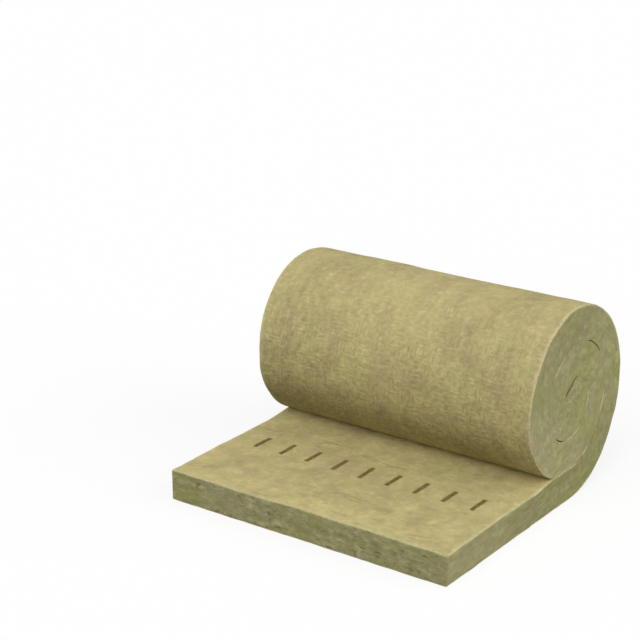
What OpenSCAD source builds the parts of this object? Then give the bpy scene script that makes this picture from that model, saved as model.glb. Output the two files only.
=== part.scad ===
// Stone wool insulation blanket, rolled up with its outer end laid out flat.
// The blanket is one slab of bonded wool. Its outer end lies on the floor, runs under the roll,
// climbs round the back, passes over the top and winds inwards to a closed core.
// X runs along the flat end towards the roll, Y along the roll's axis, Z up from the floor.
// The origin is on the floor, under the middle of the overall length and width.

/* [Blanket] */
// Width of the blanket, which is the length of the roll
blanket_width = 1000; // [400:10:1400]
// Thickness of the blanket
blanket_thickness = 100; // [40:5:200]

/* [Winding] */
// Full turns from the core out to the floor
turns = 3; // [2:1:6]
// Play between two turns that lie on each other
wind_gap = 4; // [2:0.5:10]
// Depth of the spiral seam in each end of the roll
seam_depth = 40; // [10:5:120]
// Run over which the roll's weight lays it flat on the flat end
settled_run = 40; // [10:5:90]

/* [Flat end] */
// Run of the flat end, from its cut edge to under the roll's axis
flat_run = 710; // [400:10:1600]

/* [Hidden] */
$fn = 96;

wool_colour = [0.71, 0.66, 0.45];

// Each turn takes up one thickness and its play.
pitch = blanket_thickness + wind_gap;

// The spiral is drawn with half circles about two centres, one above the other, half a pitch apart.
// The back half of each turn is struck from the lower centre and the front half from the upper one,
// so each half circle meets the next without a kink on the upright line through both centres.
back_radius = turns * pitch;
front_radius = back_radius - pitch / 2;
back_centre_z = back_radius;
front_centre_z = back_radius + pitch / 2;

// The roll settles under its weight, so the lower front of its outer turn is a tighter quarter circle.
settled_radius = front_radius - settled_run;
settled_centre_z = front_centre_z - settled_run;

overall_length = flat_run + back_radius;
cut_edge_x = -overall_length / 2;
roll_axis_x = cut_edge_x + flat_run;

// How far a cutting shape runs past the face that it opens into
cut_run_out = 2;

BACK = 1;
FRONT = -1;

// One half of a flat shape that is drawn about the origin and reaches out to the given radius.
module keep_half(side, reach) {
    intersection() {
        children();
        translate([side == BACK ? 0 : -2 * reach, -2 * reach])
            square([2 * reach, 4 * reach]);
    }
}

// Back half of the outer turn, and all the wool inside it.
module back_half() {
    translate([roll_axis_x, back_centre_z])
        keep_half(BACK, back_radius)
            circle(back_radius);
}

// Upper front quarter of the outer turn, and all the wool inside it.
module upper_front() {
    translate([roll_axis_x, front_centre_z])
        intersection() {
            circle(front_radius);
            translate([-front_radius, 0])
                square(front_radius);
        }
}

// Lower front of the outer turn: upright at first, then a quarter circle down to the flat end,
// then flat on it for the settled run.
module lower_front() {
    translate([roll_axis_x - settled_run, settled_centre_z])
        intersection() {
            circle(settled_radius);
            translate([-settled_radius, -settled_radius])
                square(settled_radius);
        }
    translate([roll_axis_x - front_radius, settled_centre_z])
        square([settled_radius, settled_run]);
    translate([roll_axis_x - settled_run, blanket_thickness])
        square([settled_run, front_centre_z - blanket_thickness]);
}

// Half of the gap between two turns: the inner turn's face has the given radius.
module half_seam(side, centre_z, radius) {
    translate([roll_axis_x, centre_z])
        keep_half(side, radius + wind_gap)
            difference() {
                circle(radius + wind_gap);
                if (radius > 0)
                    circle(radius);
            }
}

// Outline of the blanket seen from the end of the roll, with the turns closed up.
module blanket_outline() {
    translate([cut_edge_x, 0])
        square([flat_run, blanket_thickness]);
    back_half();
    upper_front();
    lower_front();
}

// The spiral gap between the turns, from where the roll lies on the flat end in to the core.
module spiral_seam() {
    translate([roll_axis_x - settled_run - cut_run_out, blanket_thickness])
        square([settled_run + cut_run_out, wind_gap]);
    for (turn = [1:turns])
        half_seam(BACK, back_centre_z, back_radius - turn * pitch);
    for (turn = [1:turns - 1])
        half_seam(FRONT, front_centre_z, front_radius - turn * pitch);
}

// Carries a flat outline along the roll's axis, from one distance across the width to another.
module across_width(from_y, to_y) {
    translate([0, to_y, 0])
        rotate([90, 0, 0])
            linear_extrude(to_y - from_y)
                children();
}

// The rolled blanket, with its turns showing as a spiral seam in both cut ends.
module wool_blanket() {
    half_width = blanket_width / 2;
    color(wool_colour)
        difference() {
            across_width(-half_width, half_width)
                blanket_outline();
            across_width(half_width - seam_depth, half_width + cut_run_out)
                spiral_seam();
            across_width(-half_width - cut_run_out, seam_depth - half_width)
                spiral_seam();
        }
}

wool_blanket();
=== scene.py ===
import math

import bmesh
import bpy
import numpy as np
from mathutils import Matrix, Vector


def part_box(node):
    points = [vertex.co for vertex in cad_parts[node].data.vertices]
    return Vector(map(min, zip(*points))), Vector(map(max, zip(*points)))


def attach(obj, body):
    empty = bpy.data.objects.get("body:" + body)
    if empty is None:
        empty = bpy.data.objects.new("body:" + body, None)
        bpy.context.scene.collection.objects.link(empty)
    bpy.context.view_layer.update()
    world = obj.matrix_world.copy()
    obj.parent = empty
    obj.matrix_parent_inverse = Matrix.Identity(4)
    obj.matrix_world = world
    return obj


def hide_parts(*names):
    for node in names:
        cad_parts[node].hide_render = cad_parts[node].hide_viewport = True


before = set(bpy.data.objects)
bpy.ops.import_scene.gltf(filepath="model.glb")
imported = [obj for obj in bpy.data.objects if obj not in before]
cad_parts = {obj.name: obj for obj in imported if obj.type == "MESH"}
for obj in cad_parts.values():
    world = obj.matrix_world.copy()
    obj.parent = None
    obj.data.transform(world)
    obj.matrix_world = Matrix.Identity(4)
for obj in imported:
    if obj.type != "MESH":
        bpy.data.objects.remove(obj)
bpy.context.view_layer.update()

# The blanket: one slab of bonded stone wool, cut square on all four sides and wound up from its inner end.
# Its faces keep the crimped skin that the curing oven pressed into them, and its cut sides show bare fibre.
# Nothing fastens it: the turns hold each other, and the roll's weight holds it on its own flat end.
low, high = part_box("wool_blanket")
half_width = (high.y - low.y) / 2
roll_radius = (high.z - low.z) / 2
TURNS = 3
WIND_GAP = 0.004
SETTLED_RUN = 0.04
pitch = roll_radius / TURNS
thickness = pitch - WIND_GAP
front_radius = roll_radius - pitch / 2
settled_radius = front_radius - SETTLED_RUN
flat_run = high.x - low.x - roll_radius
axis_x = low.x + flat_run

# Stations are the places along the blanket where its outline is worked out, at most 8 mm apart.
FLAT_STATIONS = 88
SETTLED_STATIONS = 6
HALF_TURN = 128
TURN = 2 * HALF_TURN
UPPER_FRONT_STATIONS = 62
UPRIGHT_STATIONS = 6
LOWER_FRONT_STATIONS = HALF_TURN - UPPER_FRONT_STATIONS - UPRIGHT_STATIONS - SETTLED_STATIONS
nip = FLAT_STATIONS
roll_start = nip + SETTLED_STATIONS
roll_end = roll_start + TURN


def lay_runs(start, runs):
    """Points along a chain of arcs. A run of length d that turns by q reaches, at share f of its way,
    the end of a chord of length f d sin(f q / 2) / (f q / 2) laid at its first heading plus f q / 2."""
    points = [np.array([start])]
    heading = 0.0
    for length, turn, count in runs:
        share = np.arange(1, count + 1) / count
        chord = share * length * np.sinc(share * turn / (2 * math.pi))
        direction = heading + share * turn / 2
        steps = np.stack([chord * np.cos(direction), chord * np.sin(direction)], axis=-1)
        points.append(points[-1][-1] + steps)
        heading += turn
    return np.concatenate(points)


outline = lay_runs((low.x, low.z), [
    (flat_run - SETTLED_RUN, 0, FLAT_STATIONS),
    (SETTLED_RUN, 0, SETTLED_STATIONS),
    (math.pi * roll_radius, math.pi, HALF_TURN),
    (math.pi / 2 * front_radius, math.pi / 2, UPPER_FRONT_STATIONS),
    (SETTLED_RUN, 0, UPRIGHT_STATIONS),
    (math.pi / 2 * settled_radius, math.pi / 2, LOWER_FRONT_STATIONS),
    (SETTLED_RUN, 0, SETTLED_STATIONS),
])

# A soft roll isn't quite round: it lies in a little where it leaves the floor, less over its upper front, and
# most on its lower front. Each lean has its angle from the floor and its spread, in degrees, and its depth.
LEAN_IN = ((62, 26, 0.0075), (228, 30, 0.003), (296, 18, 0.009))
turned = np.degrees(np.arctan2(outline[:, 0] - axis_x, roll_radius - outline[:, 1])) % 360
turned[:roll_start + 1] = 0
lean = sum(depth * np.exp(-((turned - angle) / spread) ** 2) for angle, spread, depth in LEAN_IN)
lean[:roll_start + 1] = 0
to_axis = np.array([axis_x, roll_radius]) - outline
outline += to_axis * (lean / np.linalg.norm(to_axis, axis=1))[:, None]


def smooth_step(value, start, end):
    """0 before start and 1 after end, with a smooth cubic rise between them."""
    share = np.clip((value - start) / (end - start), 0, 1)
    return share * share * (3 - 2 * share)


# The seam between the turns winds evenly in from the nip to the core, which is pressed flat on one side.
SEAM_CENTRE_Z = 0.335
SEAM_STEP = 0.108
CORE_FLAT = 0.042
CORE_FLAT_FROM = 1.25
CORE_FLAT_TO = 1.45
CORE_FLAT_SIDE = np.array([-0.607, 0.794])
core = np.array([axis_x, SEAM_CENTRE_Z])
seam_start = SEAM_CENTRE_Z - pitch
wound = np.arange(1, math.floor(seam_start / SEAM_STEP * TURN) + 1) / TURN
seam_radius = seam_start - SEAM_STEP * wound
seam_radius[-1] = 0.0
around = 2 * math.pi * wound
seam = seam_radius[:, None] * np.stack([np.sin(around), -np.cos(around)], axis=-1)
flattened = np.clip((wound - CORE_FLAT_FROM) / (CORE_FLAT_TO - CORE_FLAT_FROM), 0, 1)
past_flat = np.maximum(seam @ CORE_FLAT_SIDE - CORE_FLAT, 0) * flattened
seam -= past_flat[:, None] * CORE_FLAT_SIDE
path = np.concatenate([outline, core + seam])
path_end = len(path) - 1

# The roll presses into its own flat end, which swells up in front of it, and the roll's lower front sags
# onto the swelling, so the nip closes up a little before the roll's lowest line.
SWELLING = 0.009
SWELLING_FROM = 0.18
SWELLING_TO = 0.05
SAG = 0.010
SAG_REACH = 0.016
SAG_GROWS = 20
SAG_GOES = 16
NIP_GAP = 0.0012
swelling = SWELLING * smooth_step(path[:, 0], path[nip, 0] - SWELLING_FROM, path[nip, 0] - SWELLING_TO)
above_flat = path[:, 1] - low.z - thickness - swelling
sagged = np.maximum(above_flat - SAG * np.exp(-np.abs(above_flat) / SAG_REACH), NIP_GAP)
order = np.arange(path_end + 1)
hangs = smooth_step(order, roll_end - HALF_TURN, roll_end - HALF_TURN + SAG_GROWS)
hangs *= 1 - smooth_step(order, nip + TURN, roll_end + SAG_GOES)
path[:, 1] += (sagged - above_flat) * hangs
last_joined = path_end - TURN
path_steps = np.linalg.norm(np.diff(path, axis=0), axis=1)
along = np.concatenate([[0], np.cumsum(path_steps)])

# The seam gapes along the stretches where the turns have sprung apart, given in turns and by how much.
# It is pressed shut elsewhere, and only here and there does the pale skin of a turn show along it.
SHUT_GAP = 0.0003
SHUT_GOES = 20
NIP_CLOSES = (-0.004, 0.03)
OPEN_NEAR = ((0.325, 0.445, 0.0036), (0.563, 0.588, 0.003), (0.598, 0.63, 0.003), (0.865, 0.965, 0.0036),
             (1.43, 1.73, 0.011))
OPEN_FAR = ((0.12, 0.2, 0.004), (0.62, 0.72, 0.004), (1.42, 1.7, 0.010))
PALE_NEAR = ((-0.05, 0.045), (0.05, 0.09), (0.15, 0.24), (0.54, 0.66), (0.94, 1.1), (1.12, 1.28))
PALE_FAR = ((-0.05, 0.05), (0.3, 0.42), (0.7, 0.86), (1.05, 1.2))
PALE_SHARE = 0.95


def in_stretch(turn, start, end):
    """1 along a stretch of the seam, with a smooth rise and fall over a third of it at both ends."""
    edge = (end - start) / 3
    return smooth_step(turn, start, start + edge) * (1 - smooth_step(turn, end - edge, end))


def seam_gap(station, across):
    """Gap between a turn and the next one in: open at the nip and along each open stretch of that end."""
    turn = (station - roll_start) / TURN
    gap = SHUT_GAP * smooth_step(last_joined - station, 0, SHUT_GOES)
    gap = np.maximum(gap, NIP_GAP * (1 - smooth_step(turn, *NIP_CLOSES)))
    for side, stretches in ((across < 0, OPEN_NEAR), (across >= 0, OPEN_FAR)):
        for start, end, width in stretches:
            gap = np.maximum(gap, width * in_stretch(turn, start, end) * side)
    return gap


def rim_share(station, across, depth):
    """How much pale skin shows along a face's edge: all of it on open faces, and a part along the seam."""
    turn = (station - roll_start) / TURN - (depth < 0.5)
    share = np.zeros(turn.shape)
    for side, stretches in ((across < 0, PALE_NEAR), (across >= 0, PALE_FAR)):
        for start, end in stretches:
            share = np.maximum(share, PALE_SHARE * in_stretch(turn, start, end) * side)
    return np.where(turn < -SETTLED_STATIONS / TURN, 1.0, share)


# The wool's unevenness comes from smooth random fields on a lattice of random heights.
LATTICE = 48


def soft_noise(points, size, seed):
    """Smooth random field from -1 to 1: heights on a lattice, blended by cubic steps between them."""
    heights = np.random.default_rng(seed).uniform(-1, 1, (LATTICE, LATTICE, LATTICE))
    scaled = points / np.asarray(size)
    cell = np.floor(scaled).astype(int)
    share = scaled - cell
    share = share * share * (3 - 2 * share)
    total = np.zeros(points.shape[:-1])
    for corner in np.ndindex(2, 2, 2):
        weight = np.prod(np.where(corner, share, 1 - share), axis=-1)
        index = (cell + corner) % LATTICE
        total += weight * heights[index[..., 0], index[..., 1], index[..., 2]]
    return total


# The faces swell softly and round off at their lips, and the loose outer turn stands out by its fullness,
# which grows and goes over a number of stations. The cut sides wave and are rough. Each face and side reads
# its own part of the random fields.
LIP = 0.0008
LIP_REACH = 0.0018
TOP_LIP_GOES = 12
FULLNESS = 0.005
FULLNESS_GROWS = 24
FULLNESS_GOES = (45, 15)
TOP_SWELL_GOES = (26, 9)
SWELL = ((0.21, 0.0016, 11), (0.06, 0.0009, 12))
EDGE_WAVE = ((0.3, 0.0022, 21), (0.026, 0.0013, 22))
EDGE_WAVE_POWER = 40
CUT_RELIEF = (((0.05, 0.05, 0.022), 0.0014, 31), ((0.022, 0.022, 0.009), 0.0015, 32))
RELIEF_FROM_FACE = 0.008
RELIEF_FROM_CORNER = 0.02
TOP_FIELD = 1.0
FRONT_FIELD = 5.0
END_FIELD = 10.0


def outer_face(station, across):
    """The outer face: the path, swollen along its own normal by a soft noise and drawn in at its lips.
    The loose outer turn of the roll also stands out from the path by its fullness."""
    turn = np.gradient(path, axis=0)
    turn[-1] = turn[-2]
    outward = np.stack([turn[:, 1], -turn[:, 0]], axis=-1)
    outward /= np.linalg.norm(outward, axis=1)[:, None]
    place = np.stack([along[station], across * half_width, np.zeros(station.shape)], axis=-1)
    swell = sum(height * soft_noise(place, size, seed) for size, height, seed in SWELL)
    free = smooth_step(station, roll_start, roll_start + FULLNESS_GROWS)
    free = free * (1 - smooth_step(station, roll_end - FULLNESS_GOES[0], roll_end - FULLNESS_GOES[1]))
    to_end = (1 - np.abs(across)) * half_width
    lip = LIP * np.exp(-to_end / LIP_REACH) * (station <= roll_end)
    lift = (FULLNESS + swell) * free - lip
    return path[station] + outward[station] * lift[..., None]


def inner_face(station, across):
    """The inner face: the top of the flat end, and in the roll the next turn's outer face and the gap."""
    place = np.stack([along[station], across * half_width, np.full(station.shape, TOP_FIELD)], axis=-1)
    swell = sum(height * soft_noise(place, size, seed) for size, height, seed in SWELL)
    swell *= 1 - smooth_step(station, nip - TOP_SWELL_GOES[0], nip - TOP_SWELL_GOES[1])
    to_end = (1 - np.abs(across)) * half_width
    lip = LIP * np.exp(-to_end / LIP_REACH) * (1 - smooth_step(station, nip - TOP_LIP_GOES, nip))
    top = thickness + swelling[station] + swell - lip
    flat_top = path[station] + np.stack([np.zeros(station.shape), top], axis=-1)
    inward = outer_face(np.minimum(station + TURN, path_end), across)
    outward = outer_face(station, across) - inward
    reach = np.maximum(np.linalg.norm(outward, axis=-1), 1e-9)
    gap = seam_gap(station, across)
    joined = inward + outward * (gap / reach)[..., None]
    joined = np.where((station > last_joined)[..., None], core, joined)
    return np.where((station < nip)[..., None], flat_top, joined)


def wool_points(station, across, depth):
    """Points of the blanket at a station, across the width from -1 to 1, and at a share of the thickness.
    They lie between the two faces, and the cut sides stand out and in by a lamellar noise."""
    station, across, depth = np.broadcast_arrays(station, across, depth)
    outer = outer_face(station, across)
    inner = inner_face(station, across)
    section = outer + (inner - outer) * depth[..., None]
    place = np.stack([along[station], across * half_width, depth * thickness], axis=-1)
    from_face = np.minimum(depth, 1 - depth) * np.linalg.norm(inner - outer, axis=-1)
    relief = sum(height * soft_noise(place, size, seed) for size, height, seed in CUT_RELIEF)
    relief *= smooth_step(from_face, 0, RELIEF_FROM_FACE)
    relief *= smooth_step((1 - np.abs(across)) * half_width + along[station], 0, RELIEF_FROM_CORNER)
    relief -= LIP * rim_share(station, across, depth) * np.exp(-from_face / LIP_REACH)
    side = np.sign(across)
    end_place = np.stack([section[..., 0], side * END_FIELD, section[..., 1]], axis=-1)
    wave = sum(height * soft_noise(end_place, size, seed) for size, height, seed in EDGE_WAVE)
    level = np.zeros(station.shape)
    front_place = np.stack([across * half_width, level + FRONT_FIELD, level], axis=-1)
    front_wave = sum(height * soft_noise(front_place, size, seed) for size, height, seed in EDGE_WAVE)
    at_end = np.abs(across) == 1
    y = across * half_width + side * np.abs(across) ** EDGE_WAVE_POWER * wave + side * relief * at_end
    x = section[..., 0] - (front_wave + relief) * (station == 0)
    return np.stack([x, y, section[..., 1]], axis=-1), place


# The mesh is made of patches, each a grid of stations by columns across the width or through the thickness.
# The columns crowd at the edges, and the seam's two walls reach in from an end as far as its first columns.
ACROSS_COLUMNS = 124
ACROSS_CROWDING = (0.24, 8)
DEPTH_COLUMNS = 15
DEPTH_CROWDING = (0.2, 2)
SEAM_COLUMNS = 8


def crowded_ends(count, crowding, power):
    """Even steps e from -1 to 1, pushed to both ends by crowding times sin(pi e) times e to a power."""
    even = np.linspace(-1, 1, count)
    pushed = even + crowding * np.sin(math.pi * even) * np.abs(even) ** power
    pushed[[0, -1]] = -1, 1
    return pushed


across_columns = crowded_ends(ACROSS_COLUMNS, *ACROSS_CROWDING)
depth_columns = (1 + crowded_ends(DEPTH_COLUMNS, *DEPTH_CROWDING)) / 2
seam_columns = across_columns[:SEAM_COLUMNS]

outer_stations = np.arange(nip + TURN + 1)[:, None]
top_stations = np.arange(nip + 1)[:, None]
all_stations = np.arange(path_end + 1)[:, None]
seam_stations = np.arange(nip, last_joined + 1)[:, None]
nip_stations = np.array([[nip], [nip + TURN]])
nip_columns = across_columns[SEAM_COLUMNS - 1:ACROSS_COLUMNS - SEAM_COLUMNS + 1]
wall_turn = np.repeat([0, TURN], SEAM_COLUMNS)
wall_depth = np.repeat([1.0, 0.0], SEAM_COLUMNS)
near_wall = np.concatenate([seam_columns, seam_columns[::-1]])

# Each patch: its stations, places across, shares of the thickness, whether its quads turn over, and whether
# it is a wall inside the seam.
patches = [
    (outer_stations, across_columns, 0.0, False, False),
    (top_stations, across_columns, 1.0, True, False),
    (0, across_columns, depth_columns[:, None], True, False),
    (all_stations, -1.0, depth_columns, False, False),
    (all_stations, 1.0, depth_columns, True, False),
    (seam_stations + wall_turn, near_wall, wall_depth, False, True),
    (seam_stations + wall_turn, -near_wall, wall_depth, True, True),
    (nip_stations, nip_columns, np.array([[1.0], [0.0]]), True, False),
]


def grid_quads(rows, columns, first, flipped):
    """Corner numbers of the quads of a grid whose points are numbered row by row from the first one."""
    corner = first + np.arange(rows - 1)[:, None] * columns + np.arange(columns - 1)
    quads = np.stack([corner, corner + 1, corner + columns + 1, corner + columns], axis=-1)
    return (quads[..., ::-1] if flipped else quads).reshape(-1, 4)


def new_mesh(name, points, quads):
    """A mesh made from arrays of points and of four-cornered faces."""
    mesh = bpy.data.meshes.new(name)
    mesh.vertices.add(len(points))
    mesh.vertices.foreach_set("co", points.astype(np.float32).ravel())
    mesh.loops.add(quads.size)
    mesh.loops.foreach_set("vertex_index", quads.astype(np.int32).ravel())
    mesh.polygons.add(len(quads))
    mesh.polygons.foreach_set("loop_start", np.arange(0, quads.size, 4, dtype=np.int32))
    mesh.polygons.foreach_set("use_smooth", np.ones(len(quads), dtype=bool))
    mesh.update(calc_edges=True)
    return mesh


points = []
places = []
seam_depths = []
rim_shares = []
quads = []
first = 0
for station, across, depth, flipped, in_seam in patches:
    grid, place = wool_points(station, across, depth)
    points.append(grid.reshape(-1, 3))
    places.append(place.reshape(-1, 3))
    seam_depths.append((half_width - np.abs(place[..., 1])).ravel() * in_seam)
    rim_shares.append(rim_share(*np.broadcast_arrays(station, across, depth)).ravel())
    quads.append(grid_quads(grid.shape[0], grid.shape[1], first, flipped))
    first += grid.shape[0] * grid.shape[1]
blanket_mesh = new_mesh("wool_blanket_skin", np.concatenate(points), np.concatenate(quads))
strip_place = blanket_mesh.attributes.new("strip_place", "FLOAT_VECTOR", "POINT")
strip_place.data.foreach_set("vector", np.concatenate(places).astype(np.float32).ravel())
seam_depth = blanket_mesh.attributes.new("seam_depth", "FLOAT", "POINT")
seam_depth.data.foreach_set("value", np.concatenate(seam_depths).astype(np.float32))
skin_rim = blanket_mesh.attributes.new("skin_rim", "FLOAT", "POINT")
skin_rim.data.foreach_set("value", np.concatenate(rim_shares).astype(np.float32))
WELD = 2e-6
SHARP_EDGE = math.radians(55)
welded = bmesh.new()
welded.from_mesh(blanket_mesh)
bmesh.ops.remove_doubles(welded, verts=welded.verts, dist=WELD)
bmesh.ops.recalc_face_normals(welded, faces=welded.faces)
welded.to_mesh(blanket_mesh)
welded.free()
blanket_mesh.set_sharp_from_angle(angle=SHARP_EDGE)
blanket = bpy.data.objects.new("rolled_blanket", blanket_mesh)
bpy.context.scene.collection.objects.link(blanket)


class Reading:
    """A value that a shader node gives; sums, differences and products of readings add Math nodes."""

    def __init__(self, recipe, socket):
        self.recipe = recipe
        self.socket = socket

    def worked(self, operation, *values):
        """The reading of a new Math node that works on the given values."""
        return self.recipe.node("ShaderNodeMath", {"operation": operation}, dict(enumerate(values)))

    def __add__(self, other):
        return self.worked("ADD", self, other)

    __radd__ = __add__

    def __sub__(self, other):
        return self.worked("SUBTRACT", self, other)

    def __rsub__(self, other):
        return self.worked("SUBTRACT", other, self)

    def __mul__(self, other):
        return self.worked("MULTIPLY", self, other)

    __rmul__ = __mul__

    def sine(self):
        return self.worked("SINE", self)


class Recipe:
    """The node tree of a material or a world. A node is made by its type, its settings and its sockets."""

    def __init__(self, owner):
        owner.use_nodes = True
        self.tree = owner.node_tree
        self.tree.nodes.clear()

    def node(self, kind, settings=None, sockets=None, output=0):
        """Makes a node, links or sets its sockets, and gives the reading of one of its outputs."""
        node = self.tree.nodes.new(kind)
        for name, value in (settings or {}).items():
            setattr(node, name, value)
        for key, value in (sockets or {}).items():
            if isinstance(value, Reading):
                self.tree.links.new(value.socket, node.inputs[key])
            else:
                node.inputs[key].default_value = value
        return Reading(self, node.outputs[output]) if node.outputs else None

    def part(self, vector, number):
        """One of the three parts of a vector."""
        return self.node("ShaderNodeSeparateXYZ", None, {0: vector}, output=number)

    def scaled(self, vector, factors):
        """A vector with each part multiplied by its own factor."""
        return self.node("ShaderNodeVectorMath", {"operation": "MULTIPLY"}, {0: vector, 1: factors})

    def shaded(self, colour, share):
        """A colour made lighter or darker by one share."""
        return self.node("ShaderNodeVectorMath", {"operation": "SCALE"}, {0: colour, "Scale": share})

    def noise(self, vector, detail=2.0, roughness=0.5, warp=0.0):
        """Soft cloud noise about 0.5, with cells of size 1 in the vector's own units."""
        return self.node("ShaderNodeTexNoise", None, {
            "Vector": vector,
            "Scale": 1.0,
            "Detail": detail,
            "Roughness": roughness,
            "Distortion": warp,
        })

    def rise(self, value, start, end):
        """0 up to start and 1 past end, with a smooth step between them. The end may lie below the start."""
        sockets = {"Value": value, "From Min": start, "From Max": end}
        return self.node("ShaderNodeMapRange", {"interpolation_type": "SMOOTHSTEP"}, sockets)

    def mixed(self, share, first, second):
        """A colour that goes from the first to the second as the share goes from 0 to 1."""
        return self.node("ShaderNodeMix", {"data_type": "RGBA"}, {0: share, 6: first, 7: second}, output=2)


STRAW = (0.530, 0.445, 0.210, 1)
GREY_STRAW = (0.465, 0.383, 0.190, 1)
GREEN_STRAW = (0.520, 0.458, 0.208, 1)
BROWN_STRAW = (0.420, 0.340, 0.172, 1)
LOWER_FRONT_SHADE = (0.475, 0.485, 0.435)
RIM_STRAW = (0.640, 0.588, 0.330, 1)
CUT_GREEN = (0.379, 0.376, 0.143, 1)
CUT_GREY = (0.407, 0.371, 0.187, 1)
CUT_PALE = (0.550, 0.525, 0.285, 1)
PIT_SHADE = (0.165, 0.150, 0.060, 1)
SEAM_DARK = (0.420, 0.350, 0.120, 1)
SCORCH = (0.150, 0.092, 0.026, 1)

# Every point of the mesh knows its place on the blanket as it lay unrolled: its run from the cut edge, its
# offset from the middle of the width, and how far it lies inwards from the outer face. Each noise below has
# that place scaled by the number of its cells in a metre along the blanket, across it and into it.
wool_material = bpy.data.materials.new("bonded_stone_wool")
wool = Recipe(wool_material)
strip = wool.node("ShaderNodeAttribute", {"attribute_name": "strip_place"}, output="Vector")
run = wool.part(strip, 0)
offset = wool.part(strip, 1)
inwards = wool.part(strip, 2)
from_middle = offset.worked("ABSOLUTE", offset)
from_face = inwards.worked("MINIMUM", inwards, thickness - inwards)
from_cut = run.worked("MINIMUM", run, half_width - from_middle)

# Parts of the faces that look different: the top of the flat end and its near part, the far and near parts
# of the outer face, the clean margin along the cut sides, and all of the outer face up to the roll's top.
top_run = along[roll_start + HALF_TURN]
low_run = along[roll_end]
on_top = wool.rise(inwards, 0.9 * thickness, 0.95 * thickness)
near_top = wool.rise(offset, 0.1, -0.4) * on_top
far_turn = wool.rise(offset, 0.0, 0.45) * (1 - on_top)
near_turn = wool.rise(offset, 0.0, -0.35) * (1 - on_top)
clean = 1 - wool.rise(from_cut, 0.0, 0.14)
upper = 1 - wool.rise(run, top_run + 0.02, top_run + 0.4)

# The lower front of the roll is darkened by painted shade, for the shade it lies in as it turns down
# towards the floor. The painted shade fades out right in the nip and towards the near end.
lower_front_shade = wool.rise(run, low_run - 0.52, low_run - 0.12)
lower_front_shade *= 1 - wool.rise(run, low_run - 0.25, low_run - 0.13) * 0.65
lower_front_shade *= 1 - wool.rise(offset, -0.25, -0.5) * 0.5

# The face is crimped in small patches of short parallel dashes. Most patches have them across the blanket
# and the rest along it, each with its own strength.
DASH_STEP = 0.0138
PATCHES = (30, 26, 3)
wander = wool.noise(wool.scaled(strip, (40, 40, 3)), detail=1) * 0.9
cells = {"Vector": wool.scaled(strip, PATCHES), "Scale": 1.0}
patch = wool.node("ShaderNodeTexVoronoi", None, cells, output="Color")
patch_reach = wool.node("ShaderNodeTexVoronoi", None, cells)
lengthwise = wool.rise(wool.part(patch, 0), 0.6, 0.62)
shift = wander + wool.part(patch, 1)
across_dashes = ((run * (1 / DASH_STEP) + shift) * (2 * math.pi)).sine()
along_dashes = ((offset * (1 / DASH_STEP) + shift) * (2 * math.pi)).sine()
dashes = across_dashes * (1 - lengthwise) + along_dashes * lengthwise
dashes = dashes * (1 - wool.rise(patch_reach, 0.4, 0.9)) * (0.35 + wool.part(patch, 2) * 0.65)
dashes *= wool.rise(wool.noise(wool.scaled(strip, (78, 46, 4)), detail=1), 0.37, 0.6)
dashes = dashes.worked("MAXIMUM", dashes, -0.3)
broken = wool.noise(wool.scaled(strip, (72, 60, 4)), detail=2.5, roughness=0.55)
strokes = 0.5 + dashes * 0.42 + (broken - 0.5) * 1.4

# Long soft stains, worn brown patches, blots and flecks lie over the whole face.
stain = wool.noise(wool.scaled(strip, (4.5, 11, 3)), detail=4, roughness=0.55, warp=0.3)
tint = wool.noise(wool.scaled(strip, (7, 16, 3)), detail=3, roughness=0.5)
worn = wool.noise(wool.scaled(strip, (10, 8, 3)), detail=5, roughness=0.62, warp=0.2) - clean * 0.12
worn = wool.rise(worn, 0.47, 0.66) * (0.25 + on_top * 0.4 + far_turn * 0.3)
blots = wool.noise(wool.scaled(strip, (20, 15, 3)), detail=5, roughness=0.62, warp=0.3)
flecks = wool.noise(wool.scaled(strip, (44, 50, 3)), detail=3, roughness=0.6, warp=0.3)
grain = wool.noise(wool.scaled(strip, (260, 260, 40)), detail=3, roughness=0.6)
face_colour = wool.mixed(wool.rise(stain + clean * 0.2, 0.36, 0.66), GREY_STRAW, STRAW)
face_colour = wool.mixed(wool.rise(tint + near_top * 0.17, 0.42, 0.62) * 0.8, face_colour, GREEN_STRAW)
face_colour = wool.mixed(worn, face_colour, BROWN_STRAW)
crimp = 0.49 - upper * 0.34 - on_top * 0.21 + lower_front_shade * 0.25
face_shade = 1.015 + upper * 0.04 + on_top * 0.04 - near_top * 0.04 - far_turn * 0.08 - near_turn * 0.07
face_shade += (strokes - 0.5) * crimp + (grain - 0.5) * 0.08
face_shade += (blots - 0.5) * (0.58 + on_top * 0.12)
face_shade += (flecks - 0.5) * (0.42 - on_top * 0.05 - upper * 0.06)
face_shade += wool.rise(flecks, 0.54, 0.74) * 0.1 + clean * 0.02
face_colour = wool.shaded(face_colour, face_shade)
# The painted shade darkens the roll's lower front.
face_colour = wool.mixed(lower_front_shade, face_colour, wool.scaled(face_colour, LOWER_FRONT_SHADE))

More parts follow.
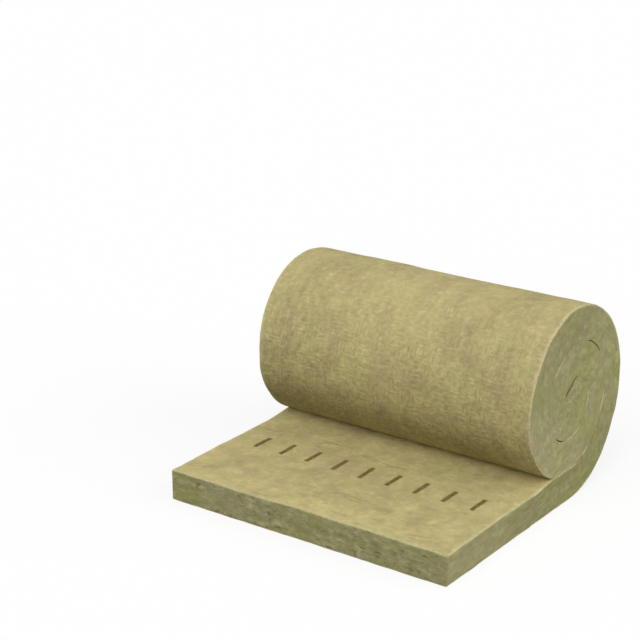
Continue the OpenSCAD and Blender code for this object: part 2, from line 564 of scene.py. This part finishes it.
# A row of plain ticks is scorched across the top of the flat end as a guide for cutting it to width.
TICK_RUN = 0.33
TICK_LENGTH = 0.085
TICK_WIDTH = 0.016
TICK_BLUR = 0.003
TICK_STEP = 0.1
ROW_REACH = 0.445
from_row = run - TICK_RUN
off_row = from_row.worked("ABSOLUTE", from_row)
from_tick = offset.worked("PINGPONG", offset, TICK_STEP / 2)
burn = wool.noise(wool.scaled(strip, (55, 55, 3)), detail=3, roughness=0.6)
uneven = (burn - 0.5) * 0.01
tick = 1 - wool.rise(from_tick + uneven, TICK_WIDTH / 2 - TICK_BLUR, TICK_WIDTH / 2 + TICK_BLUR)
tick *= 1 - wool.rise(off_row + uneven, TICK_LENGTH / 2 - TICK_BLUR, TICK_LENGTH / 2 + TICK_BLUR)
tick *= (1 - wool.rise(from_middle, ROW_REACH - 0.005, ROW_REACH + 0.005)) * on_top
face_colour = wool.mixed(tick * (0.45 + burn * 0.85), face_colour, SCORCH)

# The top has fine creases here and there, clear of the ticks, which run more across it than along it.
# They are sunk in the relief and darkened by painted shade.
CREASE_CLEARANCE = 0.04
crease_field = wool.noise(wool.scaled(strip, (26, 8, 3)), detail=1, warp=0.6) - 0.5
crease_place = wool.rise(wool.noise(wool.scaled(strip, (20, 7, 5)), detail=1), 0.54, 0.66)
crease_place *= wool.rise(off_row, TICK_LENGTH / 2, TICK_LENGTH / 2 + CREASE_CLEARANCE)
crease = 1 - wool.rise(crease_field.worked("ABSOLUTE", crease_field), 0.0, 0.085)
crease = crease * crease_place * on_top
face_colour = wool.shaded(face_colour, 1 - crease * 0.15)

# The skin turns pale where it breaks over into a cut side, and a ragged rim of it shows on the cut.
ragged = wool.noise(wool.scaled(strip, (90, 90, 30)), detail=3)
tufts = wool.rise(wool.noise(wool.scaled(strip, (110, 70, 30)), detail=2), 0.42, 0.58)
pale_rim = 1 - wool.rise(from_cut + (ragged - 0.5) * 0.026, -0.001, 0.013)
skin_colour = wool.mixed(pale_rim * (0.5 + tufts * 0.45) * (1 - lower_front_shade * 0.7), face_colour, RIM_STRAW)
skin = 1 - wool.rise(from_face + (ragged - 0.5) * 0.006, 0.0018, 0.0050)
skin_rim_share = wool.node("ShaderNodeAttribute", {"attribute_name": "skin_rim"}, output="Fac")
skin *= wool.rise(skin_rim_share + (broken - 0.5) * 0.9, 0.25, 0.95)

# Cut wool shows its layers edge on: soft streaks along the slab, and pits, most on the square-cut edge.
# The pits are sunk in the relief and darkened by painted shade.
on_edge = 1 - wool.rise(run, 0.0, 0.006)
hue = wool.noise(wool.scaled(strip, (5, 5, 8)), detail=3, roughness=0.5, warp=0.3)
mottle = wool.noise(wool.scaled(strip, (33, 33, 48)), detail=4, roughness=0.62, warp=0.5)
layers = wool.noise(wool.scaled(strip, (16, 18, 105)), detail=3, roughness=0.6, warp=0.5)
pit_field = wool.noise(wool.scaled(strip, (36, 36, 84)), detail=2, roughness=0.5)
rough = wool.rise(wool.noise(wool.scaled(strip, (9, 9, 14)), detail=3, roughness=0.6), 0.44, 0.6)
pits = wool.rise(pit_field + on_edge * 0.03 + rough * 0.04, 0.6, 0.8)
pits *= 0.2 + rough * 0.2 + on_edge * 0.32
clumps = wool.noise(wool.scaled(strip, (21, 21, 36)), detail=4, roughness=0.6, warp=0.9)
pale_wool = wool.rise(mottle * 0.5 + layers * 0.5, 0.44, 0.66)
pale_wool *= 0.36 + rough * 0.25 + on_edge * 0.14

# The cut side is darker and greener where the blanket climbs. Over the roll's top it is darker by painted
# shade, and on the roll's lower front it is greyer and also lighter by painted light from the floor below.
climbing = wool.rise(run, 0.22, 0.42) * (1 - wool.rise(run, 0.95, 1.2))
over_top = wool.rise(run, top_run - 0.3, top_run) * (1 - wool.rise(run, low_run - 0.68, low_run - 0.42))
lowest = wool.rise(run, low_run - 0.55, low_run - 0.2) * (1 - wool.rise(run, low_run - 0.02, low_run + 0.16))
hue += lowest * 0.17 - climbing * 0.08
cut_shade = 0.6 + mottle * (0.3 + on_edge * 0.24) - on_edge * 0.22 + grain * 0.16 + clumps * 0.25
cut_shade += lowest * 0.06 - climbing * 0.12 - over_top * 0.08
cut_colour = wool.mixed(wool.rise(hue, 0.33, 0.67), CUT_GREEN, CUT_GREY)
cut_colour = wool.mixed(pale_wool, cut_colour, CUT_PALE)
cut_colour = wool.shaded(cut_colour, cut_shade)
cut_colour = wool.mixed(pits, cut_colour, PIT_SHADE)
colour = wool.mixed(skin, cut_colour, skin_colour)

# The open seam is dark inside, where no light gets down between the turns.
SEAM_DARK_FROM = 0.005
seam_inside = wool.node("ShaderNodeAttribute", {"attribute_name": "seam_depth"}, output="Fac")
colour = wool.mixed(wool.rise(seam_inside, 0.0, SEAM_DARK_FROM), colour, SEAM_DARK)

# The finest relief, below the mesh's own: the crimp and creases of the faces and the fibre of the cut sides.
face_height = strokes * 0.6 + grain * 0.35 - crease * 0.6
cut_height = mottle * (0.33 + on_edge * 0.57) + layers * (0.26 + on_edge * 0.09)
cut_height += grain * 0.15 - pits * 0.7
height = face_height * skin + cut_height * (1 - skin)
bump = wool.node("ShaderNodeBump", None, {"Strength": 0.55, "Distance": 0.004, "Height": height})
shader = wool.node("ShaderNodeBsdfPrincipled", None, {
    "Base Color": colour,
    "Roughness": 0.95,
    "Specular IOR Level": 0.15,
    "Normal": bump,
})
wool.node("ShaderNodeOutputMaterial", None, {"Surface": shader})
blanket_mesh.materials.append(wool_material)
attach(blanket, "root")
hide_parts("wool_blanket")

# The floor: a wide pale studio floor, which only shows the shadow under the roll.
FLOOR_REACH = 30.0
FLOOR_SEEN = (1, 1, 1, 1)
FLOOR_BOUNCE = (0.25, 0.25, 0.25, 1)
FLOOR_GLOW = 0.8
FLOOR_DROP = 0.0005
PAPER_WHITE = 1.02
floor_corners = FLOOR_REACH * np.array([[-1, -1, 0], [1, -1, 0], [1, 1, 0], [-1, 1, 0]])
floor_mesh = new_mesh("floor", floor_corners - [0, 0, FLOOR_DROP], np.array([[0, 1, 2, 3]]))
floor = bpy.data.objects.new("floor", floor_mesh)
bpy.context.scene.collection.objects.link(floor)


def studio_seen(recipe):
    """1 on a ray that shows the studio itself, straight from the camera or by way of gloss or glass."""
    seen = recipe.node("ShaderNodeLightPath", output="Is Camera Ray")
    for kind in ("Is Glossy Ray", "Is Transmission Ray"):
        seen = seen.worked("MAXIMUM", seen, recipe.node("ShaderNodeLightPath", output=kind))
    return seen


paper_material = bpy.data.materials.new("pale_floor")
paper = Recipe(paper_material)
floor_seen = studio_seen(paper)
paper_colour = paper.mixed(floor_seen, FLOOR_BOUNCE, FLOOR_SEEN)
paper_lit = paper.node("ShaderNodeBsdfDiffuse", None, {"Color": paper_colour})
paper_glow = paper.node("ShaderNodeEmission", None, {"Color": FLOOR_SEEN, "Strength": PAPER_WHITE})
glow_share = floor_seen * FLOOR_GLOW
paper_shader = paper.node("ShaderNodeMixShader", None, {0: glow_share, 1: paper_lit, 2: paper_glow})
paper.node("ShaderNodeOutputMaterial", None, {"Surface": paper_shader})
floor_mesh.materials.append(paper_material)

# The light: a wide soft lamp in front of the roll, a lower one facing its near end, and a pale room.
ROOM_LIGHT = 0.35
LAMP_SPREAD = math.radians(55)
LAMPS = (("front_lamp", (-0.70, -0.10, 0.71), 1.65), ("end_lamp", (0.28, -0.86, 0.42), 1.3))
room = bpy.data.worlds.new("studio_room")
walls = Recipe(room)
walls_seen = studio_seen(walls)
wall_glow = walls.node("ShaderNodeBackground", None, {"Color": (1, 1, 1, 1), "Strength": ROOM_LIGHT})
wall_paper = walls.node("ShaderNodeBackground", None, {"Color": (1, 1, 1, 1), "Strength": 1.0})
wall_shader = walls.node("ShaderNodeMixShader", None, {0: walls_seen, 1: wall_glow, 2: wall_paper})
walls.node("ShaderNodeOutputWorld", None, {"Surface": wall_shader})
bpy.context.scene.world = room
for name, came_from, strength in LAMPS:
    lamp_data = bpy.data.lights.new(name, "SUN")
    lamp_data.energy = strength
    lamp_data.angle = LAMP_SPREAD
    lamp = bpy.data.objects.new(name, lamp_data)
    lamp.rotation_euler = Vector(came_from).to_track_quat("Z", "Y").to_euler()
    bpy.context.scene.collection.objects.link(lamp)

# The camera: set back on the near left, looking down over the flat end at the roll.
CAMERA_PLACE = Vector((-4.512, -2.921, 2.468))
CAMERA_YAW = math.radians(54.44)
CAMERA_DOWN = math.radians(19.70)
CAMERA_LENS = 104.57
camera_data = bpy.data.cameras.new("camera")
camera_data.lens = CAMERA_LENS
camera_data.sensor_width = 36.0
camera = bpy.data.objects.new("camera", camera_data)
camera.location = CAMERA_PLACE
camera.rotation_euler = (math.pi / 2 - CAMERA_DOWN, 0, -CAMERA_YAW)
bpy.context.scene.collection.objects.link(camera)
bpy.context.scene.camera = camera
bpy.context.scene.view_settings.view_transform = "Standard"
